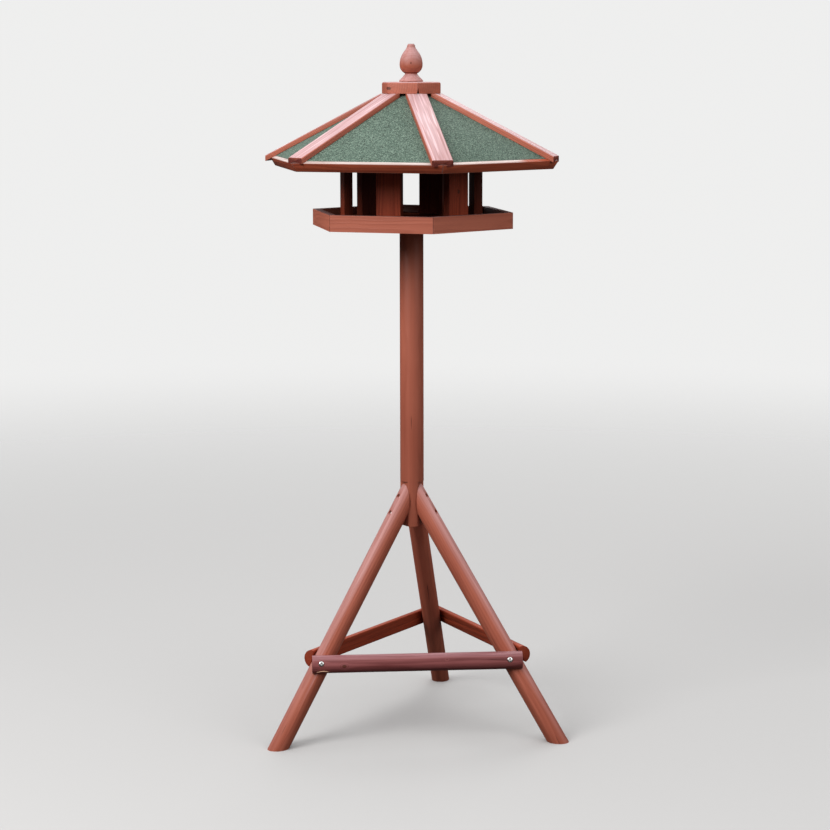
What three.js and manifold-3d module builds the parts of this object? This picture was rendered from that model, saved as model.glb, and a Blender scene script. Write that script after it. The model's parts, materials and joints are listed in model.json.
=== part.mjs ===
// Bird feeder on a pole: a six-sided feeding tray under a felted hip roof, carried by a round pole
// that stands on three splayed legs, which half-round braces tie together.
// Millimetres, +Z up. The origin is the middle of the footprint's box, at the level of the ground.
import * as THREE from "three";
import { mergeVertices } from "three/addons/utils/BufferGeometryUtils.js";
import Module from "manifold-3d";

const wasm = await Module();
wasm.setup();

// ---- Driving dimensions ----

const FIT = 0.3; // clearance between pieces that touch
const FAR = 2000; // beyond any piece, for tools that cut right past one
const SIDES = 6; // sides of the roof and of the tray
const HOUSE_YAW = -18.7; // direction of a corner of the roof and the tray, degrees from +X

// Roof: six felted panels at one pitch, which would meet at the apex if the cap didn't cut them off
const PITCH = 30; // degrees
const APEX_Z = 1372; // where the felt's six planes meet
const EAVE = 275; // apothem of the eave's outer top edge
const PANEL_TOP = 46; // apothem of the hole that the cap covers
const FELT_THICK = 2.5;
const PANEL_THICK = 9;
const FASCIA = { face: 20, thick: 9.5 };
const BATTEN = { width: 43, above_hip: 6.2, below_hip: 5, edge: 3, head: 50 }; // head: from the axis
const BATTEN_FEET = [312, 312, 309, 320, 313, 311]; // cut by hand: how far each reaches from the axis
const CAP = { radius: 64.5, z: 1348.3, height: 24, edge: 4.5 };
const DOWEL = { radius: 6, length: 18, room: 2 }; // turned on the finial, sits in the cap

// House: six boards between the tray and a top plate under the roof
const POST = { width: 52, thick: 17.4, inner_face: 129 };
const TOP_PLATE = { apothem: 152, thick: 10 };

// Tray
const RIM = { apothem: 191.7, thick: 14, z: 1072.3, height: 33.8 };
const FLOOR = { z: 1081, thick: 9 };
const SOCKET = { radius: 55, thick: 15, chamfer: 3 }; // disc around the pole's top end

// Pole, with a flat for each leg at its lower end
const POLE = { radius: 25, bottom: 436 };
const SEAT = { depth: 20, z: 490, top: 532 }; // flat's distance from the axis, leg's centre, upper end

// Legs and braces
const LEG_RADIUS = 20;
const LEG_STOCK = 760; // length before both ends are cut
const LEG_REACH = 339; // from the pole's axis to a leg's axis, on the ground
const LEGS = { left: 214.4, right: 334.4, back: 78.9 }; // directions, degrees from +X
const BRACE = { radius: 19, eased: 4 }; // half-round, with its two long edges eased
// Each brace runs past the legs' axes by its overhang. The screw in its second leg is set in.
const BRACES = {
  front: { from: "left", to: "right", z: 163, overhang: 19, set_in: 8 },
  right: { from: "right", to: "back", z: 170, overhang: 20, set_in: 0 },
  left: { from: "back", to: "left", z: 170, overhang: 12, set_in: 0 },
};

// Screws: pan heads on the braces, sunk heads in the legs
const BRACE_SCREW = { shank: 2, head: 5.6, height: 2.6, sunk: 1.7, tip: 5 }; // tip: from the leg's axis
const LEG_SCREW = { shank: 2.4, head: 4.6, height: 3, sunk: 8, tip: 7, z: [468, 501] };
const SCREW_PLAY = 0.35; // between a screw and its hole, all round
const SCREW_ROOM = 1; // hole beyond a screw's tip

// ---- Values that follow ----

const rad = THREE.MathUtils.degToRad;
const pitch = rad(PITCH);
const halfSide = Math.PI / SIDES; // half the angle that one side takes up
const hipSlope = Math.tan(pitch) * Math.cos(halfSide); // fall of the hip line
const hipAngle = Math.atan(hipSlope);
const legSlope = (LEG_REACH - SEAT.depth) / SEAT.z; // outward run for each millimetre down
const legLean = Math.atan(legSlope);
const legDistance = (z) => LEG_REACH - legSlope * z; // of the leg's axis from the pole's axis
const floorTop = FLOOR.z + FLOOR.thick;
const plateTop = planeZ(TOP_PLATE.apothem, -(FELT_THICK + PANEL_THICK)) - 2 * FIT;
const plateBottom = plateTop - TOP_PLATE.thick;
const capTop = CAP.z + CAP.height;

// Height of the roof plane that lies `lift` above the felt's outer face, at a distance from the axis.
function planeZ(apothem, lift) {
  return APEX_Z + lift / Math.cos(pitch) - apothem * Math.tan(pitch);
}

// ---- Materials ----

const finish = (color, roughness, metalness = 0) =>
  new THREE.MeshStandardMaterial({ color, roughness, metalness, flatShading: true });
const stain = () => finish(0xa9523c, 0.62);
const shadedStain = () => finish(0x8e4234, 0.66);
const darkStain = () => finish(0x8a4348, 0.6);
const ply = () => finish(0x7d3d2c, 0.75);
const felt = () => finish(0x5d7563, 0.95);
const zinc = () => finish(0xc9cac6, 0.35, 1);

// ---- Solids ----

// A closed three.js geometry as a solid that can be cut and joined.
function solid(geometry) {
  const bare = new THREE.BufferGeometry();
  bare.setAttribute("position", geometry.getAttribute("position"));
  bare.setIndex(geometry.getIndex());
  const merged = mergeVertices(bare, 1e-4);
  return new wasm.Manifold(
    new wasm.Mesh({
      numProp: 3,
      vertProperties: merged.getAttribute("position").array,
      triVerts: new Uint32Array(merged.getIndex().array),
    }),
  );
}

function geometryOf(body) {
  const { vertProperties, triVerts } = body.getMesh();
  const geometry = new THREE.BufferGeometry();
  geometry.setAttribute("position", new THREE.BufferAttribute(vertProperties, 3));
  geometry.setIndex(new THREE.BufferAttribute(triVerts, 1));
  return geometry;
}

function cut(geometry, ...tools) {
  const rest = tools.reduce((body, tool) => body.subtract(solid(tool)), solid(geometry));
  return geometryOf(rest);
}

const box = (low, high) =>
  new THREE.BoxGeometry(high[0] - low[0], high[1] - low[1], high[2] - low[2]).translate(
    (high[0] + low[0]) / 2,
    (high[1] + low[1]) / 2,
    (high[2] + low[2]) / 2,
  );

// A cylinder along +X between two distances from the origin.
const rodAlongX = (radius, from, to, segments = 16) =>
  new THREE.CylinderGeometry(radius, radius, to - from, segments)
    .rotateZ(-Math.PI / 2)
    .translate((from + to) / 2, 0, 0);

// A profile drawn in the XZ plane, swept along Y and centred on it.
const sweptAlongY = (points, width) =>
  new THREE.ExtrudeGeometry(new THREE.Shape(points), { depth: width, bevelEnabled: false })
    .rotateX(Math.PI / 2)
    .translate(0, width / 2, 0);

// Profile points [distance from the axis, height], turned round Z. Six segments make a hexagon with
// a corner on +X.
const turned = (profile, segments) =>
  new THREE.LatheGeometry(
    profile.map(([r, z]) => new THREE.Vector2(r, z)),
    segments,
  )
    .rotateX(Math.PI / 2)
    .rotateZ(Math.PI / 2);

const hexagon = (apothem, low, high) => {
  const radius = apothem / Math.cos(halfSide);
  return turned([[0, low], [radius, low], [radius, high], [0, high]], SIDES);
};

// ---- Assembly helpers ----

const feeder = new THREE.Group();

function add(group, name, geometry, material) {
  const mesh = new THREE.Mesh(geometry, material);
  mesh.name = name;
  group.add(mesh);
  return mesh;
}

// A group whose +X points in the given direction, in degrees from the feeder's +X.
function facing(degrees) {
  const group = new THREE.Group();
  group.rotation.z = rad(degrees);
  feeder.add(group);
  return group;
}

const sideDirection = (i) => HOUSE_YAW - 360 / SIDES / 2 - (i * 360) / SIDES;
const cornerDirection = (i) => HOUSE_YAW - (i * 360) / SIDES;

// The sector that one side of the house takes up round +X, less a mitre gap.
const sector = (() => {
  const spread = FAR * Math.tan(halfSide);
  const outline = [[0, 0], [FAR, -spread], [FAR, spread]];
  const shape = new THREE.Shape(outline.map(([x, y]) => new THREE.Vector2(x, y)));
  const geometry = new THREE.ExtrudeGeometry(shape, { depth: FAR, bevelEnabled: false });
  return solid(geometry.translate(FIT, 0, 0));
})();

// A piece that runs round the house, mitred at both ends, from its profile in the XZ plane.
const mitred = (profile) => {
  const points = profile.map(([x, z]) => new THREE.Vector2(x, z));
  return geometryOf(solid(sweptAlongY(points, FAR)).intersect(sector));
};

// ---- Roof ----

// A point of a side's section: run down the felt's plane from the apex, and lift above the plane.
const onSlope = (run, lift) => [
  run * Math.cos(pitch) + lift * Math.sin(pitch),
  APEX_Z - run * Math.sin(pitch) + lift * Math.cos(pitch),
];
const eaveRun = EAVE / Math.cos(pitch);
const boardEnd = eaveRun - FASCIA.thick - FIT;

function roofBoard(underside, topside) {
  return mitred([
    [PANEL_TOP, planeZ(PANEL_TOP, underside)],
    onSlope(boardEnd, underside),
    onSlope(boardEnd, topside),
    [PANEL_TOP, planeZ(PANEL_TOP, topside)],
  ]);
}

function fascia() {
  return mitred([
    onSlope(eaveRun - FASCIA.thick, -FASCIA.face),
    onSlope(eaveRun, -FASCIA.face),
    onSlope(eaveRun, 0),
    onSlope(eaveRun - FASCIA.thick, 0),
  ]);
}

// The whole roof below the battens, a gap larger all round: six slopes and the fascia's faces.
const roofShape = (() => {
  const corner = (apothem) => apothem / Math.cos(halfSide);
  const gap = FIT / Math.cos(pitch);
  const [low, lowZ] = onSlope(eaveRun, -FASCIA.face);
  const profile = [
    [0, lowZ],
    [corner(low + gap), lowZ],
    [corner(EAVE + gap), planeZ(EAVE + gap, FIT)],
    [0, planeZ(0, FIT)],
  ];
  return turned(profile, SIDES);
})();

// A batten lies along a hip. Its underside is hollowed to fit the roof, its upper edges are rounded,
// its head is cut level where the cap rests on it, and its foot is cut plumb.
function batten(foot) {
  const half = BATTEN.width / 2;
  const shoulder = half - BATTEN.edge;
  const level = BATTEN.above_hip - BATTEN.edge;
  const outline = new THREE.Shape();
  outline.moveTo(-half, -BATTEN.below_hip);
  outline.lineTo(half, -BATTEN.below_hip);
  outline.absarc(shoulder, level, BATTEN.edge, 0, Math.PI / 2, false);
  outline.absarc(-shoulder, level, BATTEN.edge, Math.PI / 2, Math.PI, false);
  const strip = new THREE.ExtrudeGeometry(outline, {
    depth: EAVE / Math.cos(halfSide) / Math.cos(hipAngle) + BATTEN.width,
    bevelEnabled: false,
    curveSegments: 4,
  });
  const downhill = new THREE.Vector3(Math.cos(hipAngle), 0, -Math.sin(hipAngle));
  const outward = new THREE.Vector3(Math.sin(hipAngle), 0, Math.cos(hipAngle));
  const across = new THREE.Vector3(0, 1, 0);
  strip.applyMatrix4(new THREE.Matrix4().makeBasis(across, outward, downhill));
  strip.translate(0, 0, APEX_Z);
  const aboveSeat = box([-FAR, -FAR, CAP.z - FIT], [FAR, FAR, FAR]);
  const insideHead = box([-FAR, -FAR, 0], [BATTEN.head, FAR, FAR]);
  const beyondFoot = box([foot, -FAR, 0], [FAR, FAR, FAR]);
  return cut(strip, roofShape, aboveSeat, insideHead, beyondFoot);
}

for (let i = 0; i < SIDES; i++) {
  const side = facing(sideDirection(i));
  add(side, `roof_panel_${i + 1}`, roofBoard(-(FELT_THICK + PANEL_THICK), -FELT_THICK - FIT), ply());
  add(side, `roof_felt_${i + 1}`, roofBoard(-FELT_THICK, 0), felt());
  add(side, `eave_fascia_${i + 1}`, fascia(), stain());
  add(facing(cornerDirection(i)), `hip_batten_${i + 1}`, batten(BATTEN_FEET[i]), stain());
}

// The cap: a hexagonal block with a rounded upper edge, bored for the finial's dowel.
function cap() {
  const { radius, z, height, edge } = CAP;
  const top = z + height;
  const round = [0, 30, 60, 90].map((a) => [
    radius - edge + edge * Math.cos(rad(a)),
    top - edge + edge * Math.sin(rad(a)),
  ]);
  const block = turned([[0, z], [radius, z], ...round, [0, top]], SIDES);
  const bore = rodAlongX(DOWEL.radius + FIT, top - DOWEL.length - DOWEL.room, top + DOWEL.room, 24);
  return cut(block, bore.rotateY(-Math.PI / 2));
}
add(facing(HOUSE_YAW), "roof_cap", cap(), stain());

// The finial: a dowel, a conical foot, a drop-shaped bulb and a small flat tip.
function finial() {
  const base = capTop + FIT;
  const bulb = new THREE.SplineCurve(
    [
      [12.4, 16.6], [17.8, 20.4], [22.4, 27], [23.9, 35], [22.6, 46],
      [18.6, 56], [12.6, 64.6], [9, 70.3], [8.2, 74.1],
    ].map(([r, z]) => new THREE.Vector2(r, z)),
  );
  const profile = [
    [0, -DOWEL.length],
    [DOWEL.radius, -DOWEL.length],
    [DOWEL.radius, 0],
    [24.6, 0],
    [25, 1],
    [24.6, 2.6],
    [17.5, 10],
    [12.6, 15.8],
    ...bulb.getPoints(22).map((p) => [p.x, p.y]),
    [6.8, 76.1],
    [6.2, 77.5],
    [0, 77.5],
  ];
  return turned(profile.map(([r, z]) => [r, base + z]), 32);
}
add(feeder, "finial", finial(), stain());

// ---- House ----

for (let i = 0; i < SIDES; i++) {
  const { inner_face, thick, width } = POST;
  const board = box(
    [inner_face, -width / 2, floorTop + FIT],
    [inner_face + thick, width / 2, plateBottom - FIT],
  );
  add(facing(sideDirection(i)), `post_${i + 1}`, board, shadedStain());
}
add(facing(HOUSE_YAW), "top_plate", hexagon(TOP_PLATE.apothem, plateBottom, plateTop), ply());

// ---- Tray ----

for (let i = 0; i < SIDES; i++) {
  const inner = RIM.apothem - RIM.thick;
  const top = RIM.z + RIM.height;
  const profile = [[inner, RIM.z], [RIM.apothem, RIM.z], [RIM.apothem, top], [inner, top]];
  add(facing(sideDirection(i)), `tray_rim_${i + 1}`, mitred(profile), stain());
}
const floorApothem = RIM.apothem - RIM.thick - FIT;
add(facing(HOUSE_YAW), "tray_floor", hexagon(floorApothem, FLOOR.z, floorTop), ply());

function poleSocket() {
  const { radius, thick, chamfer } = SOCKET;
  const top = FLOOR.z - FIT;
  const bore = POLE.radius + FIT;
  return turned(
    [
      [bore, top], [bore, top - thick], [radius - chamfer, top - thick],
      [radius, top - thick + chamfer], [radius, top], [bore, top],
    ],
    48,
  );
}
add(feeder, "pole_socket", poleSocket(), shadedStain());

// ---- Stand ----

function pole() {
  const top = FLOOR.z - FIT;
  const shaft = new THREE.CylinderGeometry(POLE.radius, POLE.radius, top - POLE.bottom, 48)
    .rotateX(Math.PI / 2)
    .translate(0, 0, (top + POLE.bottom) / 2);
  const tools = Object.values(LEGS).flatMap((direction) => [
    box([SEAT.depth, -FAR, 0], [FAR, FAR, SEAT.top]).rotateZ(rad(direction)),
    ...LEG_SCREW.z.map((z) =>
      rodAlongX(LEG_SCREW.shank + SCREW_PLAY, LEG_SCREW.tip - SCREW_ROOM, POLE.radius)
        .translate(0, 0, z)
        .rotateZ(rad(direction)),
    ),
  ]);
  return cut(shaft, ...tools);
}
add(feeder, "pole", pole(), stain());

// A brace between two legs: half the angle between them, and its frame. The flat face lies in the
// plane that touches both legs along their length, so the brace leans with them.
function braceFrame({ from, to }) {
  const span = (LEGS[to] - LEGS[from] + 720) % 360;
  const half = rad(span / 2);
  const lean = Math.atan(legSlope * Math.cos(half));
  return { direction: LEGS[from] + span / 2, half, lean };
}

// The axes of a leg's two brace screws, in the leg's own group: turned from the leg, leaning with
// the brace, at its height, and shifted along it.
function braceScrewAxes(leg) {
  return Object.values(BRACES)
    .filter(({ from, to }) => leg === from || leg === to)
    .map((brace) => {
      const { half, lean } = braceFrame(brace);
      const first = leg === brace.from;
      return { turn: first ? half : -half, lean, z: brace.z, shift: first ? 0 : -brace.set_in };
    });
}

// Where a leg's outer face lies at a height, seen from the pole's axis.
const legFace = (z) => legDistance(z) + LEG_RADIUS / Math.cos(legLean);

function leg(name) {
  const stock = new THREE.CylinderGeometry(LEG_RADIUS, LEG_RADIUS, LEG_STOCK, 36)
    .rotateX(Math.PI / 2)
    .rotateY(-legLean)
    .translate(legDistance(SEAT.z / 2), 0, SEAT.z / 2);
  const belowGround = box([-FAR, -FAR, -FAR], [FAR, FAR, 0]);
  const behindSeat = box([-FAR, -FAR, -FAR], [SEAT.depth + FIT, FAR, FAR]);
  const sunkHoles = LEG_SCREW.z.flatMap((z) => {
    const seat = legFace(z) - LEG_SCREW.sunk;
    return [
      rodAlongX(LEG_SCREW.shank + SCREW_PLAY, 0, seat).translate(0, 0, z),
      rodAlongX(LEG_SCREW.head + SCREW_PLAY, seat - FIT, FAR, 20).translate(0, 0, z),
    ];
  });
  const braceHoles = braceScrewAxes(name).map(({ turn, lean, z, shift }) =>
    rodAlongX(BRACE_SCREW.shank + SCREW_PLAY, BRACE_SCREW.tip - SCREW_ROOM, 2 * LEG_RADIUS)
      .rotateY(-lean)
      .translate(0, shift, 0)
      .rotateZ(turn)
      .translate(legDistance(z), 0, z),
  );
  return cut(stock, belowGround, behindSeat, ...sunkHoles, ...braceHoles);
}

// A screw along +X with its head's underside at x = 0: a shank with a point, and a domed head.
function screw({ shank, head, height }, length) {
  const profile = [
    [0, -length], [shank * 0.3, -length + 0.6], [shank, -length + 4], [shank, 0],
    [head, 0], [head, height * 0.35], [head * 0.82, height * 0.72], [head * 0.45, height * 0.95],
    [0, height],
  ];
  return turned(profile, 20).rotateY(Math.PI / 2);
}

for (const [name, direction] of Object.entries(LEGS)) {
  const group = facing(direction);
  add(group, `leg_${name}`, leg(name), stain());
  LEG_SCREW.z.forEach((z, i) => {
    const seat = legFace(z) - LEG_SCREW.sunk;
    const mesh = add(group, `leg_screw_${name}_${i + 1}`, screw(LEG_SCREW, seat - LEG_SCREW.tip), zinc());
    mesh.position.set(seat, 0, z);
  });
}

// A brace's section: the flat face on x = 0 and the round side towards +X.
function halfRound() {
  const { radius, eased } = BRACE;
  const flatHalf = radius - eased;
  const turn = Math.acos(eased / radius);
  const section = new THREE.Shape();
  section.moveTo(0, -flatHalf);
  section.quadraticCurveTo(0, -radius, eased, -radius * Math.sin(turn));
  section.absarc(0, 0, radius, -turn, turn, false);
  section.quadraticCurveTo(0, radius, 0, flatHalf);
  return section;
}

for (const [name, brace] of Object.entries(BRACES)) {
  const { direction, half, lean } = braceFrame(brace);
  const legs = legDistance(brace.z);
  const screwAt = legs * Math.sin(half);
  const length = 2 * (screwAt + brace.overhang);
  const frame = new THREE.Group();
  frame.position.set(legs * Math.cos(half), 0, brace.z);
  frame.rotation.y = -lean;
  facing(direction).add(frame);

  // In the brace's frame +X points away from the legs, and the legs' axes cross it at x = 0.
  const flat = LEG_RADIUS + FIT;
  const rail = new THREE.ExtrudeGeometry(halfRound(), {
    depth: length,
    bevelEnabled: false,
    curveSegments: 16,
  })
    .rotateX(Math.PI / 2)
    .translate(flat, length / 2, 0);
  const headSeat = flat + BRACE.radius - BRACE_SCREW.sunk;
  const screws = [-screwAt, screwAt - brace.set_in];
  const tools = screws.flatMap((y) => [
    rodAlongX(BRACE_SCREW.shank + SCREW_PLAY, 0, headSeat).translate(0, y, 0),
    rodAlongX(BRACE_SCREW.head + SCREW_PLAY, headSeat - FIT, FAR, 24).translate(0, y, 0),
  ]);
  add(frame, `brace_${name}`, cut(rail, ...tools), name === "front" ? darkStain() : shadedStain());
  screws.forEach((y, i) => {
    const piece = screw(BRACE_SCREW, headSeat - BRACE_SCREW.tip);
    add(frame, `brace_screw_${name}_${i + 1}`, piece, zinc()).position.set(headSeat, y, 0);
  });
}

// ---- Origin ----

const extent = new THREE.Box3().setFromObject(feeder, true);
const middle = extent.getCenter(new THREE.Vector3());
feeder.position.set(-middle.x, -middle.y, 0);

const part = new THREE.Group();
part.add(feeder);
export default part;
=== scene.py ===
import json
import math
import random

import bmesh
import bpy
import numpy as np
from mathutils import Matrix, Vector

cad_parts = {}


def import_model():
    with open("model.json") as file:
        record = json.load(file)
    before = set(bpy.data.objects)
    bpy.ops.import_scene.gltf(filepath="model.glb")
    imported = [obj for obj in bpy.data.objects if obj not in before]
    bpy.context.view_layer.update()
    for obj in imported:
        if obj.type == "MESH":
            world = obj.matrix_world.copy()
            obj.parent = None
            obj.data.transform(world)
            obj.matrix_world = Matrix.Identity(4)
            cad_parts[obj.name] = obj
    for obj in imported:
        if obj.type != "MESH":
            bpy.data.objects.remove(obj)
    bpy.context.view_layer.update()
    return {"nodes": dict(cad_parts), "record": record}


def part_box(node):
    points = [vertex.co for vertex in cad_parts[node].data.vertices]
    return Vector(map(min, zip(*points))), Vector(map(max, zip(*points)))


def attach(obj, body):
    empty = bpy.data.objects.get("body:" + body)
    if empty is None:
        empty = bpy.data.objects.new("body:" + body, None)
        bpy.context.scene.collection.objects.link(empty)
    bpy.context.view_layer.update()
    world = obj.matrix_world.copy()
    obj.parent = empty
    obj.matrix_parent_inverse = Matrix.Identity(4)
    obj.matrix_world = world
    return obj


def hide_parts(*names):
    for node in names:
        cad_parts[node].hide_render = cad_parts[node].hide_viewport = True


# A six-sided bird feeder on a pole with three braced legs. Metres, +Z up.
# The frame gives every piece its place. This script gives the pieces their materials, eases their
# edges, and stands finer pieces where the frame's are too plain.
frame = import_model()
nodes = frame["nodes"]

MM = 0.001
UP = Vector((0, 0, 1))
RIGHT = Vector((1, 0, 0))
FRONT = Vector((0, -1, 0))

pole_low, pole_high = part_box("pole")
AXIS = Vector(((pole_low.x + pole_high.x) / 2, (pole_low.y + pole_high.y) / 2, 0))


def middle(node):
    low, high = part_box(node)
    return (low + high) / 2


# ---- Node trees ----


class Graph:
    """Short calls that add nodes to a shader tree. An input takes a number, vector or socket."""

    def __init__(self, tree):
        self.tree = tree
        tree.nodes.clear()

    def feed(self, socket, value):
        if isinstance(value, bpy.types.NodeSocket):
            self.tree.links.new(value, socket)
        else:
            socket.default_value = value

    def node(self, kind, inputs=None, **settings):
        made = self.tree.nodes.new("ShaderNode" + kind)
        for name, value in settings.items():
            setattr(made, name, value)
        for name, value in (inputs or {}).items():
            self.feed(made.inputs[name], value)
        return made

    def math(self, operation, a, b=0.0):
        return self.node("Math", {0: a, 1: b}, operation=operation).outputs[0]

    def vector(self, operation, a, b=(0, 0, 0)):
        made = self.node("VectorMath", {0: a, 1: b}, operation=operation)
        gives_number = operation in ("DOT_PRODUCT", "LENGTH")
        return made.outputs["Value" if gives_number else "Vector"]

    def scaled(self, vector, factor):
        made = self.node("VectorMath", {0: vector, "Scale": factor}, operation="SCALE")
        return made.outputs[0]

    def step(self, value, low, high, from_value=0.0, to_value=1.0):
        """A smooth step from from_value at low to to_value at high."""
        made = self.node(
            "MapRange",
            {0: value, 1: low, 2: high, 3: from_value, 4: to_value},
            interpolation_type="SMOOTHSTEP",
        )
        return made.outputs[0]

    def mix(self, factor, a, b, blend="MIX"):
        made = self.node("Mix", {0: factor, 6: a, 7: b}, data_type="RGBA", blend_type=blend)
        made.clamp_factor = True
        return made.outputs[2]

    def noise(self, vector, scale, detail=2.0, roughness=0.5):
        made = self.node(
            "TexNoise",
            {"Vector": vector, "Scale": scale, "Detail": detail, "Roughness": roughness},
        )
        return made.outputs[0]

    def combine(self, x, y, z):
        return self.node("CombineXYZ", {0: x, 1: y, 2: z}).outputs[0]

    def add_all(self, *values):
        total = values[0]
        for value in values[1:]:
            total = self.math("ADD", total, value)
        return total

    def product(self, *values):
        total = values[0]
        for value in values[1:]:
            total = self.math("MULTIPLY", total, value)
        return total

    def swing(self, value, amount):
        """A 0 to 1 value as a swing of plus or minus half the amount."""
        return self.product(self.math("SUBTRACT", value, 0.5), amount)

    def own(self, name, output="Vector"):
        """A property of the object that is being shaded: a vector, or a number as output Fac."""
        made = self.node("Attribute", attribute_type="OBJECT", attribute_name=name)
        return made.outputs[output]

    def own_number(self, name):
        return self.own(name, "Fac")


def rgb(red, green, blue):
    """A colour picked in sRGB, 0 to 255, as the linear RGBA that a shader takes."""
    def linear(value):
        value /= 255
        return value / 12.92 if value <= 0.04045 else ((value + 0.055) / 1.055) ** 2.4

    return (linear(red), linear(green), linear(blue), 1.0)


def new_material(name):
    material = bpy.data.materials.new(name)
    material.use_nodes = True
    return material, Graph(material.node_tree)


def finish_material(graph, color, roughness, height, relief, **constants):
    """Principled shader with a bump, where relief is the bump's depth. Constants fill its sockets."""
    bump = graph.node("Bump", {"Strength": 1.0, "Distance": relief, "Height": height})
    shader = graph.node(
        "BsdfPrincipled",
        {"Base Color": color, "Roughness": roughness, "Normal": bump.outputs[0]},
    )
    for name, value in constants.items():
        shader.inputs[name.replace("_", " ")].default_value = value
    output = graph.node("OutputMaterial")
    graph.tree.links.new(shader.outputs[0], output.inputs[0])


# ---- Wood ----


# Linear colours of marks that are the same on every stain
# Painted shade: the colour that a board's sides and back darken to, for the shade under the roof
PAINTED_SHADE_SIDE = (0.035, 0.009, 0.006, 1)
# Painted shade on the ends of the fascias' tops, under the battens' feet
UNDERFOOT_SHADE = (0.1, 0.026, 0.018, 1)
CRACK = (0.05, 0.014, 0.009, 1)
KNOT_RING = (0.055, 0.014, 0.008, 1)
KNOT_HEART = (0.16, 0.045, 0.025, 1)
# Factors on the colour that is there
CHALK = (1.3, 1.36, 1.36, 1)
END_GRAIN = (0.4, 0.22, 0.22, 1)
END_GRAIN_PORES = (0.16, 0.07, 0.07, 1)

KNOTS_PER_BOARD = 2


class Grain:
    """The noises that a board's marks share, and the place of the shaded point in its board."""

    def __init__(self, g):
        place = g.vector("SUBTRACT", g.node("TexCoord").outputs["Object"], g.own("grain_middle"))
        self.g = g
        self.along = g.own("grain_along")
        self.out = g.own("grain_out")
        self.lengthwise = g.vector("DOT_PRODUCT", place, self.along)
        crosswise = g.vector("DOT_PRODUCT", place, g.own("grain_across"))
        outwards = g.vector("DOT_PRODUCT", place, self.out)
        self.board = g.combine(self.lengthwise, crosswise, outwards)
        self.seeded = g.vector("ADD", self.board, g.own("grain_seed"))
        self.normal = g.node("NewGeometry").outputs["Normal"]
        self.height = g.node("SeparateXYZ", {0: self.normal}).outputs[2]
        self.fibre = g.noise(self.stretched(22, 800), 1.0, 2, 0.6)
        self.streak = g.noise(self.stretched(5, 150), 1.0, 3, 0.55)
        self.blotch = g.noise(self.stretched(7, 24), 1.0, 3, 0.5)
        self.contrast = g.own_number("grain_contrast")

    def stretched(self, lengthwise, crosswise):
        """The place with its own scale along the grain and across it, per metre."""
        return self.g.vector("MULTIPLY", self.seeded, (lengthwise, crosswise, crosswise))


def knots(grain):
    """Branches that come out of the board's face: their mask, and how far they push the rings."""
    g = grain.g
    mask = 0.0
    push = 0.0
    for i in range(KNOTS_PER_BOARD):
        name = f"knot_{i + 1}"
        from_knot = g.vector("SUBTRACT", grain.board, g.own(name))
        distance = g.vector("LENGTH", g.vector("MULTIPLY", from_knot, (0.7, 1, 0.25)))
        radius = g.own_number(name + "_radius")
        ragged = g.math("ADD", distance, g.swing(grain.blotch, 4 * MM))
        inside = g.step(g.math("DIVIDE", ragged, radius), 0.75, 1.1, 1.0, 0.0)
        mask = g.math("MAXIMUM", mask, inside)
        near = g.step(g.math("DIVIDE", distance, radius), 0.5, 3.0, 1.0, 0.0)
        push = g.math("ADD", push, g.product(near, 5 * MM))
    return mask, push


def late_wood(grain, push, ring_width):
    """Growth rings round a pith that sways along the board: 1 where a ring ends in dark late wood."""
    g = grain.g
    noise = g.node("TexNoise", {"Vector": grain.stretched(4.5, 12), "Scale": 1.0, "Detail": 1.0})
    sway = g.scaled(g.vector("SUBTRACT", noise.outputs["Color"], (0.5, 0.5, 0.5)), 9 * MM)
    swayed = g.vector("ADD", grain.board, sway)
    from_pith = g.vector("MULTIPLY", g.vector("SUBTRACT", swayed, g.own("grain_pith")), (0, 1, 1))
    radius = g.math("ADD", g.vector("LENGTH", from_pith), push)
    turns = g.math("DIVIDE", radius, ring_width)
    phase = g.math("FRACT", g.math("ADD", turns, g.swing(grain.streak, 0.5)))
    return g.product(g.step(phase, 0.25, 0.9), g.step(phase, 0.92, 1.0, 1.0, 0.0))


def stain(grain, late, light, deep):
    """The stain's colour, darker in late wood, streaks and fibres, with painted shade on a board's
    sides and back.
    """
    g = grain.g
    usual_depth = 0.34
    lines = g.add_all(g.product(late, 0.3), g.swing(grain.streak, 0.7), g.swing(grain.fibre, 0.35))
    depth = g.add_all(
        g.product(lines, grain.contrast),
        g.swing(grain.blotch, 0.5),
        g.own_number("grain_tone"),
        usual_depth,
    )
    # Painted shade on the faces that turn away from a board's outside
    faces_out = g.vector("DOT_PRODUCT", grain.normal, grain.out)
    painted_shade = g.product(g.step(faces_out, 0.3, 0.7, 1.0, 0.0), g.own_number("dark_sides"))
    return g.mix(painted_shade, g.mix(depth, light, deep), PAINTED_SHADE_SIDE)


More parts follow.
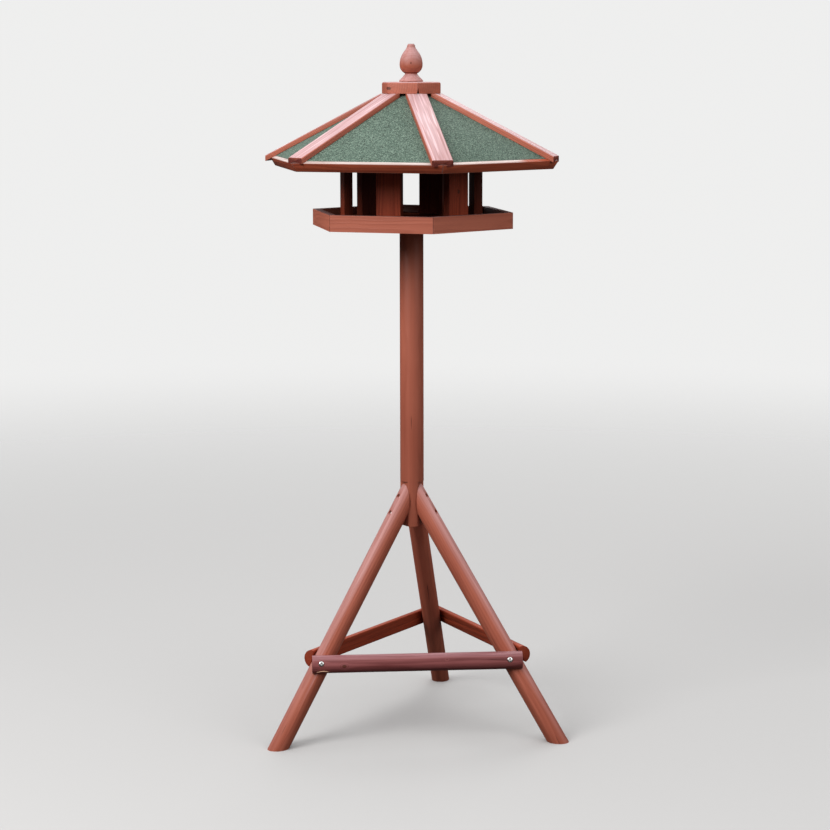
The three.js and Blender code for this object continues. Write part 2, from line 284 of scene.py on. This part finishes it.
def bleached_with_painted_sheen(grain, late, color, bleached_with_sheen, amount):
    """Bleaches in streaks the faces that look up, and paints the sky's sheen on them in the same
    pale, except where another piece shelters them.
    """
    g = grain.g
    above_start = g.math("SUBTRACT", grain.height, g.own_number("bleach_from"))
    rough_start = g.math("ADD", above_start, g.swing(grain.streak, 0.2))
    looks_up = g.step(rough_start, 0.0, g.own_number("bleach_fade"))
    from_middle = g.math("SUBTRACT", grain.lengthwise, g.own_number("bleach_middle"))
    past_reach = g.math("SUBTRACT", g.math("ABSOLUTE", from_middle), g.own_number("bleach_reach"))
    rough_reach = g.math("ADD", past_reach, g.swing(grain.blotch, 20 * MM))
    open_sky = g.step(rough_reach, -30 * MM, 5 * MM, 1.0, 0.0)
    # Partly sun fading and partly painted sky sheen, on the faces that look up
    bleach_sheen_mask = g.product(looks_up, open_sky, amount, g.own_number("bleach_share"))

    red_streak = g.product(g.step(grain.streak, 0.42, 0.78), 0.5)
    still_red = g.add_all(red_streak, g.product(late, 0.18), g.swing(grain.blotch, 0.25))
    pale = g.mix(still_red, bleached_with_sheen, color)
    chalk = g.mix(1.0, bleached_with_sheen, CHALK, "MULTIPLY")
    chalk_line = g.noise(grain.stretched(9, 260), 1.0, 2, 0.5)
    pale = g.mix(g.product(g.step(chalk_line, 0.5, 0.68), grain.contrast), pale, chalk)
    return g.mix(bleach_sheen_mask, color, pale)


def wood_grain_group():
    """Stained and weathered pine: rings, fibres, knots, end grain, sun-faded tops with painted sky
    sheen, painted shade, wear and cracks.

    Each object's own properties, which lay_grain sets, say how its board lies and how it has aged.
    """
    tree = bpy.data.node_groups.new("stained_pine_grain", "ShaderNodeTree")
    for way, kind, names in (
        ("INPUT", "Color", ("Light", "Deep", "Bleached with sheen")),
        ("INPUT", "Float", ("Bleach", "Wear", "Ring width")),
        ("OUTPUT", "Color", ("Color",)),
        ("OUTPUT", "Float", ("Roughness", "Height")),
    ):
        for name in names:
            tree.interface.new_socket(name, in_out=way, socket_type="NodeSocket" + kind)

    g = Graph(tree)
    given = tree.nodes.new("NodeGroupInput").outputs
    grain = Grain(g)
    knot_mask, knot_push = knots(grain)
    late = late_wood(grain, knot_push, given["Ring width"])
    color = stain(grain, late, given["Light"], given["Deep"])
    color = bleached_with_painted_sheen(grain, late, color, given["Bleached with sheen"], given["Bleach"])

    # Worn edges show paler wood in patches
    patch = g.step(g.add_all(grain.blotch, g.swing(grain.fibre, 0.3)), 0.36, 0.6)
    color = g.mix(g.product(patch, given["Wear"]), color, given["Bleached with sheen"])

    # Painted shade: the ends of a fascia's top, under the battens' feet, are darkened
    from_middle = g.math("ABSOLUTE", grain.lengthwise)
    past_feet = g.math("GREATER_THAN", from_middle, g.own_number("damp_from"))
    color = g.mix(g.product(g.step(grain.height, 0.1, 0.4), past_feet), color, UNDERFOOT_SHADE)

    # End grain soaks up more stain
    facing_end = g.math("ABSOLUTE", g.vector("DOT_PRODUCT", grain.normal, grain.along))
    end = g.product(g.step(facing_end, 0.7, 0.88), g.own_number("grain_end"))
    pores = g.noise(grain.stretched(700, 700), 1.0, 3, 0.6)
    end_tint = g.mix(g.step(pores, 0.42, 0.62), END_GRAIN, END_GRAIN_PORES)
    color = g.mix(end, color, g.mix(1.0, color, end_tint, "MULTIPLY"))

    # Knots: dark, and redder in places
    knot_color = g.mix(g.step(grain.fibre, 0.3, 0.7), KNOT_RING, KNOT_HEART)
    color = g.mix(g.product(knot_mask, 0.85), color, knot_color)

    # Drying checks: fine cracks along the grain
    crack_line = g.noise(grain.stretched(7, 420), 1.0, 1, 0.4)
    cracks = g.product(g.step(crack_line, 0.72, 0.77), g.step(grain.blotch, 0.5, 0.62))
    color = g.mix(g.product(cracks, 0.7), color, CRACK)

    roughness = g.add_all(0.5, g.swing(grain.fibre, 0.2), g.product(end, 0.2), g.product(late, -0.06))
    height = g.add_all(
        g.product(late, 0.5),
        g.swing(grain.fibre, 0.9),
        g.swing(grain.streak, 0.5),
        g.product(cracks, -2.0),
        g.product(end, g.swing(pores, 3.0)),
    )
    results = tree.nodes.new("NodeGroupOutput")
    for name, value in (("Color", color), ("Roughness", roughness), ("Height", height)):
        tree.links.new(value, results.inputs[name])
    return tree


WOOD_GRAIN = wood_grain_group()


def wood(name, light, deep, bleached_with_sheen, bleach=0.6, wear=0.0, ring_width=2.6 * MM, gloss=0.3):
    """A stain's colours, how strongly the sun's fading with painted sky sheen and wear show on it,
    its rings and its shine.
    """
    material, g = new_material(name)
    grain = g.tree.nodes.new("ShaderNodeGroup")
    grain.node_tree = WOOD_GRAIN
    values = (light, deep, bleached_with_sheen, bleach, wear, ring_width)
    for socket, value in zip(grain.inputs, values):
        socket.default_value = value
    color, roughness, height = grain.outputs
    relief = 0.25 * MM
    finish_material(g, color, roughness, height, relief, Specular_IOR_Level=gloss)
    return material


# Stains, by the colour of their light wood, their late wood and their pale wood, which is sun-faded
# wood and painted sky sheen in one
STAIN = dict(light=rgb(196, 112, 88), deep=rgb(134, 60, 44), bleached_with_sheen=rgb(208, 174, 177))
EAVE = dict(light=rgb(188, 92, 62), deep=rgb(118, 46, 28), bleached_with_sheen=rgb(206, 192, 186))
# Painted shade: a darker, redder copy of the stain for the posts under the roof and the side braces
STAIN_IN_PAINTED_SHADE = dict(light=rgb(178, 78, 50), deep=rgb(104, 34, 20), bleached_with_sheen=rgb(160, 100, 84))
DARK = dict(light=rgb(152, 86, 85), deep=rgb(90, 33, 32), bleached_with_sheen=rgb(158, 114, 118))
# Painted shade: the plywood is stained darker for the shade inside the house
PLY_IN_PAINTED_SHADE = dict(light=rgb(112, 52, 36), deep=rgb(70, 30, 20), bleached_with_sheen=rgb(120, 72, 56))
TORN = dict(light=rgb(214, 164, 132), deep=rgb(170, 104, 76), bleached_with_sheen=rgb(226, 190, 160))


def felt_material():
    """Bitumen felt faced with mineral granules of several greys and greens."""
    material, g = new_material("roof_felt")
    place = g.node("TexCoord").outputs["Object"]
    granules_per_metre = 620.0
    granules = g.node("TexVoronoi", {"Vector": place, "Scale": granules_per_metre})
    tint = g.node("SeparateXYZ", {0: granules.outputs["Color"]}).outputs[0]
    mottle = g.noise(place, 90.0, 3, 0.6)
    fine = g.noise(place, 420.0, 2, 0.6)
    green = g.mix(mottle, rgb(76, 98, 84), rgb(94, 115, 101))
    pale_granule = rgb(130, 150, 134)
    dark_granule = rgb(44, 56, 48)
    bare_bitumen = rgb(56, 70, 60)
    color = g.mix(g.step(tint, 0.6, 0.95), green, pale_granule)
    color = g.mix(g.step(tint, 0.3, 0.04), color, dark_granule)
    color = g.mix(g.step(fine, 0.58, 0.8), color, bare_bitumen)
    roughness = g.step(tint, 0.0, 1.0, 0.82, 0.96)
    height = g.math("SUBTRACT", fine, granules.outputs["Distance"])
    relief = 0.8 * MM
    finish_material(g, color, roughness, height, relief)
    return material


def zinc_material():
    """Bright zinc plating, clouded and finely scratched."""
    material, g = new_material("zinc")
    place = g.node("TexCoord").outputs["Object"]
    cloud = g.noise(place, 260.0, 3, 0.6)
    scratch = g.noise(g.vector("MULTIPLY", place, (4000, 300, 900)), 1.0, 2, 0.5)
    bright = (0.86, 0.86, 0.83, 1)
    dull = (0.62, 0.63, 0.62, 1)
    roughness = g.add_all(0.26, g.swing(cloud, 0.2), g.swing(scratch, 0.12))
    height = g.add_all(cloud, scratch)
    relief = 0.03 * MM
    finish_material(g, g.mix(cloud, bright, dull), roughness, height, relief, Metallic=1.0)
    return material


def wood_pair(name, palette, wear=0.3, **settings):
    """A wood for the faces of a piece, and the same wood for its worn edges."""
    return wood(name, **palette, **settings), wood(name + "_edge", **palette, wear=wear, **settings)


FELT = felt_material()
ZINC = zinc_material()
# The materials of each slot: for a piece's faces, and for its edges
MATERIALS = {
    "stained_pine": wood_pair("stained_pine", STAIN, wear=0.1, bleach=0.9),
    # The shaded_pine slot takes the stain with painted shade
    "shaded_pine": wood_pair("shaded_pine", STAIN_IN_PAINTED_SHADE, wear=0, bleach=0.15, gloss=0.2),
    "dark_pine": wood_pair("dark_pine", DARK, bleach=0.6),
    # Plywood with painted shade
    "plywood": wood_pair("plywood", PLY_IN_PAINTED_SHADE, bleach=0.1, ring_width=9 * MM, gloss=0.0),
    "roof_felt": (FELT, FELT),
    "zinc": (ZINC, ZINC),
}
# Stained pine that weathered more and takes more painted sky sheen on its tops, by its piece's name
# without the number
OUTDOOR_WOOD = {
    "hip_batten": wood_pair("stained_pine_batten", STAIN, wear=0.4, bleach=0.9),
    "eave_fascia": wood_pair("stained_pine_eave", EAVE, bleach=1.0),
}


# ---- How each board lies ----


ROUND_STOCK = ("pole", "finial", "leg_left", "leg_right", "leg_back")
LYING_FLAT = ("top_plate", "tray_floor", "pole_socket")
HOUSE_TURN = math.radians(-18.7)  # direction of the roof's first corner
CAP_GRAIN = HOUSE_TURN + math.radians(30)  # the cap's grain runs between two of its faces


def spread_of(node):
    """Unit vectors along a node's length, width and thickness, from how its corners spread."""
    points = np.array([v.co for v in nodes[node].data.vertices])
    corners = np.unique(points.round(5), axis=0)
    return [Vector(row) for row in np.linalg.svd(corners - corners.mean(0), full_matrices=False)[2]]


def towards(direction, wanted):
    return direction if direction.dot(wanted) > 0 else -direction


def board_axes(node):
    """How a piece's timber lies: along the grain, across its face, and out of its face."""
    away = middle(node) - AXIS
    away.z = 0
    if node in LYING_FLAT or node == "roof_cap":
        along = Vector((math.cos(CAP_GRAIN), math.sin(CAP_GRAIN), 0))
        out = along.cross(UP) if node == "roof_cap" else UP
    elif node.startswith(("roof_panel", "roof_felt")):
        out = towards(spread_of(node)[2], UP)
        along = UP.cross(out).normalized()
    else:
        length, _, thickness = spread_of(node)
        along = towards(length, RIGHT + 2 * UP)
        if node in ROUND_STOCK:
            facing = away if node.startswith("leg") else FRONT
            out = (facing - facing.dot(along) * along).normalized()
        else:
            out = towards(thickness, away + 0.1 * UP)
    return along, out.cross(along), out


# Places along, across and out from the middle of the piece, and radii, in millimetres
KNOTS = {
    "brace_front": [((-154, -5, 9), 2.9), ((61, 5, 9), 1.4)],
    "roof_cap": [((-54, -1, 32), 3.6)],
    "finial": [((8.4, 0.5, 22), 2.2)],
    "post_1": [((-24, 0, 9), 3.0)],
    "leg_left": [((60, -12, 16), 1.6)],
    "leg_right": [((-120, 10, 17), 1.6)],
    "brace_right": [((40, 4, 9), 2.0)],
}
NO_KNOT = ((9000, 9000, 9000), 1)  # far off every board

# How most boards have aged, with their painted shade and painted sky sheen. A distance of 10 m stands
# for none or for no limit
LOOK = {
    "grain_contrast": 1.0,
    "grain_end": 1.0,  # stain that the end grain took
    # Painted shade: how much darker the sides and the back are painted
    "dark_sides": 0.0,  # how much darker the sides and the back are
    "bleach_share": 1.0,
    "bleach_from": 0.5,  # how far up a face has to look, where 1 is straight up
    "bleach_fade": 0.38,  # how much further up it looks where it is bleached in full
    "bleach_middle": 0.0,  # middle of the length that is open to the sky
    "bleach_reach": 10.0,  # half of that length
    "damp_from": 10.0,  # distance from the board's middle
}
# How some boards differ, by the start of their names. A later row goes over an earlier one. The tone
# is the amount of stain, which is a little at random elsewhere; the back leg's darker tone is painted
# shade, and the lighter tone of the right-facing rim, batten and fascia is painted light
LOOKS = {
    "pole": {"grain_tone": -0.03, "grain_contrast": 0.3},
    "leg_": {"grain_tone": 0.0, "grain_contrast": 0.5, "bleach_share": 0.45, "bleach_from": 0.2},
    # Painted shade: the back leg is darker and gets no painted sky sheen
    "leg_back": {"grain_tone": 0.1, "bleach_share": 0.0},
    # The finial's paler upper half is partly sun fading and partly painted sky reflection
    "finial": {
        "grain_tone": -0.05,
        "grain_contrast": 0.4,
        "bleach_share": 0.6,
        "bleach_from": -0.2,
        "bleach_fade": 0.8,
    },
    "roof_cap": {"grain_tone": -0.07, "grain_contrast": 0.6, "grain_end": 0.0},
    "hip_batten": {"grain_contrast": 1.2},
    # Painted light: the batten at the right is lighter
    "hip_batten_1": {"grain_tone": -0.3, "bleach_from": 0.45, "bleach_fade": 0.35},
    "hip_batten_4": {"bleach_from": 0.2},
    # Painted shade on the sides and backs of the posts and the rims, which the roof shades; the rims'
    # tops also get less of the painted sky sheen
    "post_": {"grain_tone": -0.06, "dark_sides": 0.6},
    "tray_rim": {
        "grain_tone": -0.14,
        "grain_contrast": 0.6,
        "dark_sides": 0.7,
        "bleach_share": 0.25,
    },
    # Painted light: the rim that faces right is lighter
    "tray_rim_1": {"grain_tone": -0.28},
    "tray_rim_3": {"grain_tone": -0.22},
    "brace_right": {"grain_tone": -0.12, "grain_end": 0.3},
    "brace_left": {"grain_tone": -0.12, "grain_end": 0.3},
    # Painted shade on the fascia tops past the battens' feet, where the painted sky sheen also stops
    "eave_fascia": {"bleach_reach": 158 * MM, "damp_from": 136 * MM},
    # Painted light: the fascia that faces right is lighter
    "eave_fascia_1": {"grain_tone": -0.3, "bleach_middle": -50 * MM, "bleach_reach": 120 * MM},
}


def lay_grain(piece, node):
    """Gives a piece the properties that the wood's node group reads."""
    dice = random.Random(node)
    along, across, out = board_axes(node)
    # The pith's place along, across and out from the middle, in millimetres
    if node in ROUND_STOCK:
        pith = (0, dice.uniform(-5, 5), -8)
    elif node.startswith("brace_"):
        pith = (0, dice.uniform(-6, 6), -14)
    else:
        pith = (0, dice.uniform(-20, 20), dice.uniform(-50, -26))
    piece["grain_middle"] = list(middle(node))
    piece["grain_along"] = list(along)
    piece["grain_across"] = list(across)
    piece["grain_out"] = list(out)
    piece["grain_pith"] = [distance * MM for distance in pith]
    piece["grain_seed"] = [dice.uniform(0, 9) for _ in range(3)]
    look = dict(LOOK, grain_tone=dice.uniform(-0.09, 0.09))
    for start, changes in LOOKS.items():
        if node.startswith(start):
            look.update(changes)
    for name, value in look.items():
        piece[name] = value
    board_knots = KNOTS.get(node, []) + [NO_KNOT] * KNOTS_PER_BOARD
    for i in range(KNOTS_PER_BOARD):
        place, radius = board_knots[i]
        piece[f"knot_{i + 1}"] = [distance * MM for distance in place]
        piece[f"knot_{i + 1}_radius"] = radius * MM


# ---- Eased edges and smooth shading ----


def smooth_by_angle_group():
    """Geometry nodes that shade smooth, except across sharp edges."""
    sharp = math.radians(40)
    tree = bpy.data.node_groups.new("smooth_by_angle", "GeometryNodeTree")
    tree.interface.new_socket("Geometry", in_out="INPUT", socket_type="NodeSocketGeometry")
    tree.interface.new_socket("Geometry", in_out="OUTPUT", socket_type="NodeSocketGeometry")
    start = tree.nodes.new("NodeGroupInput")
    end = tree.nodes.new("NodeGroupOutput")
    faces = tree.nodes.new("GeometryNodeSetShadeSmooth")
    edges = tree.nodes.new("GeometryNodeSetShadeSmooth")
    edges.domain = "EDGE"
    angle = tree.nodes.new("GeometryNodeInputMeshEdgeAngle")
    compare = tree.nodes.new("FunctionNodeCompare")
    compare.operation = "LESS_THAN"
    compare.inputs[1].default_value = sharp
    tree.links.new(start.outputs[0], faces.inputs[0])
    tree.links.new(faces.outputs[0], edges.inputs[0])
    tree.links.new(angle.outputs[0], compare.inputs[0])
    tree.links.new(compare.outputs[0], edges.inputs["Shade Smooth"])
    tree.links.new(edges.outputs[0], end.inputs[0])
    return tree


SMOOTH_BY_ANGLE = smooth_by_angle_group()


def ease_edges(piece, width, angle=30):
    """Welds the faces, rounds the edges sharper than the angle in degrees, and shades them smooth.

    The rounded edges take the piece's second material. A width of 0 rounds nothing.
    """
    weld = piece.modifiers.new("weld", "WELD")
    weld.merge_threshold = 0.01 * MM
    if width:
        bevel = piece.modifiers.new("eased_edges", "BEVEL")
        bevel.width = width
        bevel.segments = 2
        bevel.limit_method = "ANGLE"
        bevel.angle_limit = math.radians(angle)
        bevel.material = 1
    shade = piece.modifiers.new("shade", "NODES")
    shade.node_group = SMOOTH_BY_ANGLE


def dress(piece, materials):
    """A piece's surface material and, in its second slot, the one for its edges."""
    piece.data.materials.clear()
    for material in materials:
        piece.data.materials.append(material)


# ---- Meshes ----


def mesh_object(name, vertices, faces):
    mesh = bpy.data.meshes.new(name)
    mesh.from_pydata(vertices, [], faces)
    mesh.validate()
    made = bpy.data.objects.new(name, mesh)
    bpy.context.scene.collection.objects.link(made)
    return made


def tube_faces(count, levels):
    """Faces of a closed tube through rings of count vertices each, with its two end caps."""
    total = count * levels
    faces = [tuple(range(count)), tuple(range(total - 1, total - count - 1, -1))]
    for start in range(0, total - count, count):
        for k in range(count):
            following = (k + 1) % count
            above = start + count
            faces.append((start + k, above + k, above + following, start + following))
    return faces


def ring_solid(name, rows, place):
    """A closed solid along local +X from rings of [x, radii]. A ring with one radius is a point."""
    vertices = []
    rings = []
    for x, radii in rows:
        start = len(vertices)
        rings.append(range(start, start + len(radii)))
        for k, radius in enumerate(radii):
            angle = math.tau * k / len(radii)
            vertices.append(place @ Vector((x, radius * math.cos(angle), radius * math.sin(angle))))
    faces = []
    for ring, following in zip(rings, rings[1:]):
        count = max(len(ring), len(following))
        for k in range(count):
            corners = [ring[k % len(ring)], ring[(k + 1) % len(ring)]]
            corners += [following[(k + 1) % len(following)], following[k % len(following)]]
            faces.append(tuple(dict.fromkeys(corners)))
    return mesh_object(name, vertices, faces)


def carve(piece, cutter):
    """Cuts one object out of another for good and removes the cutter."""
    modifier = piece.modifiers.new("carve", "BOOLEAN")
    modifier.operation = "DIFFERENCE"
    modifier.object = cutter
    evaluated = piece.evaluated_get(bpy.context.evaluated_depsgraph_get())
    carved = bpy.data.meshes.new_from_object(evaluated)
    piece.modifiers.clear()
    piece.data = carved
    bpy.data.objects.remove(cutter)


# ---- Screws ----


def cross_cutter(place, reach, half_width, depth):
    """The cross-shaped space that a screwdriver fits. It tapers down from x = 0."""
    outline = []
    for quarter in range(4):
        turn = Matrix.Rotation(quarter * math.pi / 2, 3, "X")
        for y, z in ((reach, -half_width), (reach, half_width), (half_width, half_width)):
            outline.append(turn @ Vector((0, y, z)))
    levels = ((depth, 1.15), (0, 1.0), (-depth, 0.5))
    vertices = [place @ Vector((x, p.y * size, p.z * size)) for x, size in levels for p in outline]
    return mesh_object("cross_cutter", vertices, tube_faces(len(outline), len(levels)))


def screw_sizes(node):
    """A plain screw's seat, direction towards its head, and sizes, measured on the frame's node."""
    points = np.unique(np.array([v.co for v in nodes[node].data.vertices]).round(6), axis=0)
    centre = points.mean(0)
    axis = np.array(spread_of(node)[0])
    run = (points - centre) @ axis
    radius = np.linalg.norm(points - centre - np.outer(run, axis), axis=1)
    if run[radius.argmax()] < 0:
        axis, run = -axis, -run
    head = radius.max()
    seat = run[radius > head * 0.98].min()
    shank = radius[abs(run - seat) < 0.1 * MM].min()
    return Vector(centre + axis * seat), Vector(axis), head, run.max() - seat, shank, seat - run.min()


def detailed_screw(node):
    """A pan-head screw with a cross recess and a cut thread, in the place of a plain one."""
    seat, axis, head, height, shank, length = screw_sizes(node)
    dice = random.Random(node)
    turn = Matrix.Rotation(dice.uniform(0, math.pi / 2), 4, "X")
    place = Matrix.Translation(seat) @ axis.to_track_quat("X", "Z").to_matrix().to_4x4() @ turn
    sides = 32
    pitch = 1.7 * MM
    rows_per_turn = 5
    ridge = 0.16 * shank
    unthreaded = 0.3 * length
    point = 4 * MM

    def ring(x, radius):
        return x, [radius] * sides

    rows = [(-length, [0.0])]
    x = -length + 0.3 * MM
    while x < -unthreaded:
        taper = min(1.0, (x + length) / point)
        radii = []
        for k in range(sides):
            phase = (x / pitch - k / sides) % 1.0
            crest = max(0.0, 1 - abs(phase - 0.5) * 4)
            radii.append(taper * (shank - ridge + 2 * ridge * crest))
        rows.append((x, radii))
        x += pitch / rows_per_turn
    rows += [ring(-unthreaded + 0.2 * MM, shank), ring(-ridge, shank), ring(0, shank * 1.15)]
    rim = 0.22 * height
    rows += [ring(0, head * 0.97), ring(0.08 * height, head), ring(rim, head)]
    dome_steps = 9
    for k in range(1, dome_steps):
        angle = k / dome_steps * math.pi / 2
        rows.append(ring(rim + (height - rim) * math.sin(angle), head * math.cos(angle) ** 0.55))
    rows.append((height, [0.0]))
    piece = ring_solid(node + "_detailed", rows, place)
    top = place @ Matrix.Translation((height, 0, 0))
    carve(piece, cross_cutter(top, reach=0.56 * head, half_width=0.13 * head, depth=0.6 * height))
    dress(piece, MATERIALS["zinc"])
    ease_edges(piece, 0.1 * MM, angle=35)
    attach(piece, "root")
    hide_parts(node)


# ---- Every node ----


EDGE_WIDTH = 0.9 * MM
EDGE_WIDTHS = {"roof_felt": 0.4 * MM, "plywood": 0.5 * MM}
for entry in frame["record"]["subparts"]:
    name, slot = entry["node"], entry["material_slot"]
    if slot == "zinc":
        detailed_screw(name)
    else:
        piece = nodes[name]
        dress(piece, OUTDOOR_WOOD.get(name[:-2], MATERIALS[slot]))
        lay_grain(piece, name)
        ease_edges(piece, EDGE_WIDTHS.get(slot, EDGE_WIDTH))


# ---- Marks of use ----


def cap_split():
    """A drying split that opens downwards at the cap's front corner."""
    corner = HOUSE_TURN - math.radians(60)
    outward = Vector((math.cos(corner), math.sin(corner), 0))
    sideways = UP.cross(outward)
    low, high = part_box("roof_cap")
    corner_foot = AXIS + outward * ((high.x - low.x) / 2) + UP * low.z
    # Sideways and up from the corner's foot, in millimetres
    right_side = ((4.4, -1), (4, 4), (3.1, 8), (2.2, 12), (1.4, 15))
    left_side = ((0.9, 11), (0.1, 6), (-0.5, 3), (-1, -1))
    outline = right_side + left_side
    middle_line = 1.6
    # Millimetres out from the corner, and the share of the outline's size there
    layers = ((6, 1), (-7, 0.8), (-14, 0.3))
    vertices = []
    for depth, share in layers:
        for across, up in outline:
            drift = middle_line + (across - middle_line) * share
            offset = outward * depth + sideways * drift + UP * up * share
            vertices.append(corner_foot + offset * MM)
    cutter = mesh_object("cap_split", vertices, tube_faces(len(outline), len(layers)))
    cutter.hide_render = True
    split = nodes["roof_cap"].modifiers.new("split", "BOOLEAN")
    split.object = cutter


def torn_sliver():
    """A pale sliver that stands off the front brace's lower edge, near its left end."""
    along, across, out = board_axes("brace_front")
    low_corner, high_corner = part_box("brace_front")
    half_length = (high_corner - low_corner).x / 2
    from_end = 9 * MM
    length = 26 * MM
    left = middle("brace_front") - along * (half_length - from_end)
    # Places of the brace's lower edge from its middle, and the sliver's rise, in millimetres
    edge_out = 6.5
    edge_down = 16.6
    most_rise = 2.2
    steps = 14
    sides = 10
    vertices = []
    for row in range(steps + 1):
        share = row / steps
        # It bows up and out from the brace's lower edge and thins towards both its ends
        rise = most_rise * math.sin(math.pi * share * 0.9)
        centre = left + along * length * share
        centre += (out * (edge_out + 0.8 * rise) - across * (edge_down - rise)) * MM
        thick = math.sin(math.pi * share) ** 0.6
        wide = (0.3 + 1.1 * thick) * MM
        high = (0.2 + 0.7 * thick) * MM
        for k in range(sides):
            angle = math.tau * k / sides
            vertices.append(centre + out * wide * math.cos(angle) + across * high * math.sin(angle))
    piece = mesh_object("torn_sliver", vertices, tube_faces(sides, steps + 1))
    dress(piece, wood_pair("torn_pine", TORN))
    lay_grain(piece, "brace_front")
    ease_edges(piece, 0)
    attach(piece, "root")


cap_split()
torn_sliver()


# ---- Studio ----


def camera():
    """The photographer's place: in front of the pole, as high as the finial, looking down a bit."""
    distance = 4.6
    height = 1.399
    look_down = math.radians(8.97)
    turn_right = math.radians(0.1)
    roll = math.radians(0.11)
    data = bpy.data.cameras.new("camera")
    data.sensor_width = 36
    data.lens = 95.14
    made = bpy.data.objects.new("camera", data)
    bpy.context.scene.collection.objects.link(made)
    made.location = AXIS + Vector((0, -distance, height))
    made.rotation_euler = (math.pi / 2 - look_down, roll, -turn_right)
    bpy.context.scene.camera = made


def softbox(name, place, size, power):
    """A round area light that faces the middle of the feeder."""
    data = bpy.data.lights.new(name, "AREA")
    data.shape = "DISK"
    data.size = size
    data.energy = power
    made = bpy.data.objects.new(name, data)
    bpy.context.scene.collection.objects.link(made)
    made.location = AXIS + Vector(place)
    target = AXIS + UP * 0.9
    made.rotation_mode = "QUATERNION"
    made.rotation_quaternion = (target - made.location).to_track_quat("-Z", "Y")


def floor():
    """A round pale floor that fades into the background and sends little light back up."""
    radius = 9
    fade_from = 1.2
    fade_to = 6.0
    seen_color = (0.5, 0.495, 0.485, 1)
    lighting_color = (0.06, 0.057, 0.054, 1)
    mesh = bpy.data.meshes.new("floor")
    shape = bmesh.new()
    bmesh.ops.create_circle(shape, cap_ends=True, segments=96, radius=radius)
    shape.to_mesh(mesh)
    shape.free()
    made = bpy.data.objects.new("floor", mesh)
    bpy.context.scene.collection.objects.link(made)
    material, g = new_material("floor")
    place = g.node("TexCoord").outputs["Object"]
    camera_ray = g.node("LightPath").outputs["Is Camera Ray"]
    color = g.mix(camera_ray, lighting_color, seen_color)
    diffuse = g.node("BsdfDiffuse", {"Color": color}).outputs[0]
    clear = g.node("BsdfTransparent").outputs[0]
    fade = g.step(g.vector("LENGTH", place), fade_from, fade_to)
    both = g.node("MixShader", {0: fade, 1: diffuse, 2: clear}).outputs[0]
    output = g.node("OutputMaterial")
    g.tree.links.new(both, output.inputs[0])
    mesh.materials.append(material)


def world():
    """A pale backdrop to look at, and a sky that lights from above more than from the sides."""
    zenith = (1.0, 1.0, 1.02, 1)
    horizon = (0.04, 0.04, 0.04, 1)
    backdrop = (0.86, 0.86, 0.855, 1)
    made = bpy.data.worlds.new("studio")
    made.use_nodes = True
    g = Graph(made.node_tree)
    direction = g.node("TexCoord").outputs["Generated"]
    height = g.node("SeparateXYZ", {0: direction}).outputs[2]
    sky = g.mix(g.step(height, 0.1, 0.9), horizon, zenith)
    light = g.node("Background", {"Color": sky, "Strength": 1.25}).outputs[0]
    seen = g.node("Background", {"Color": backdrop, "Strength": 1.0}).outputs[0]
    camera_ray = g.node("LightPath").outputs["Is Camera Ray"]
    both = g.node("MixShader", {0: camera_ray, 1: light, 2: seen}).outputs[0]
    output = g.node("OutputWorld")
    g.tree.links.new(both, output.inputs[0])
    bpy.context.scene.world = made


camera()
softbox("key", place=(-2.8, -2.4, 3.1), size=2.6, power=132)
softbox("fill", place=(3.0, -2.6, 2.4), size=2.6, power=34)
softbox("back", place=(0.8, 3.0, 3.4), size=2.2, power=30)
floor()
world()
bpy.context.scene.view_settings.view_transform = "Standard"
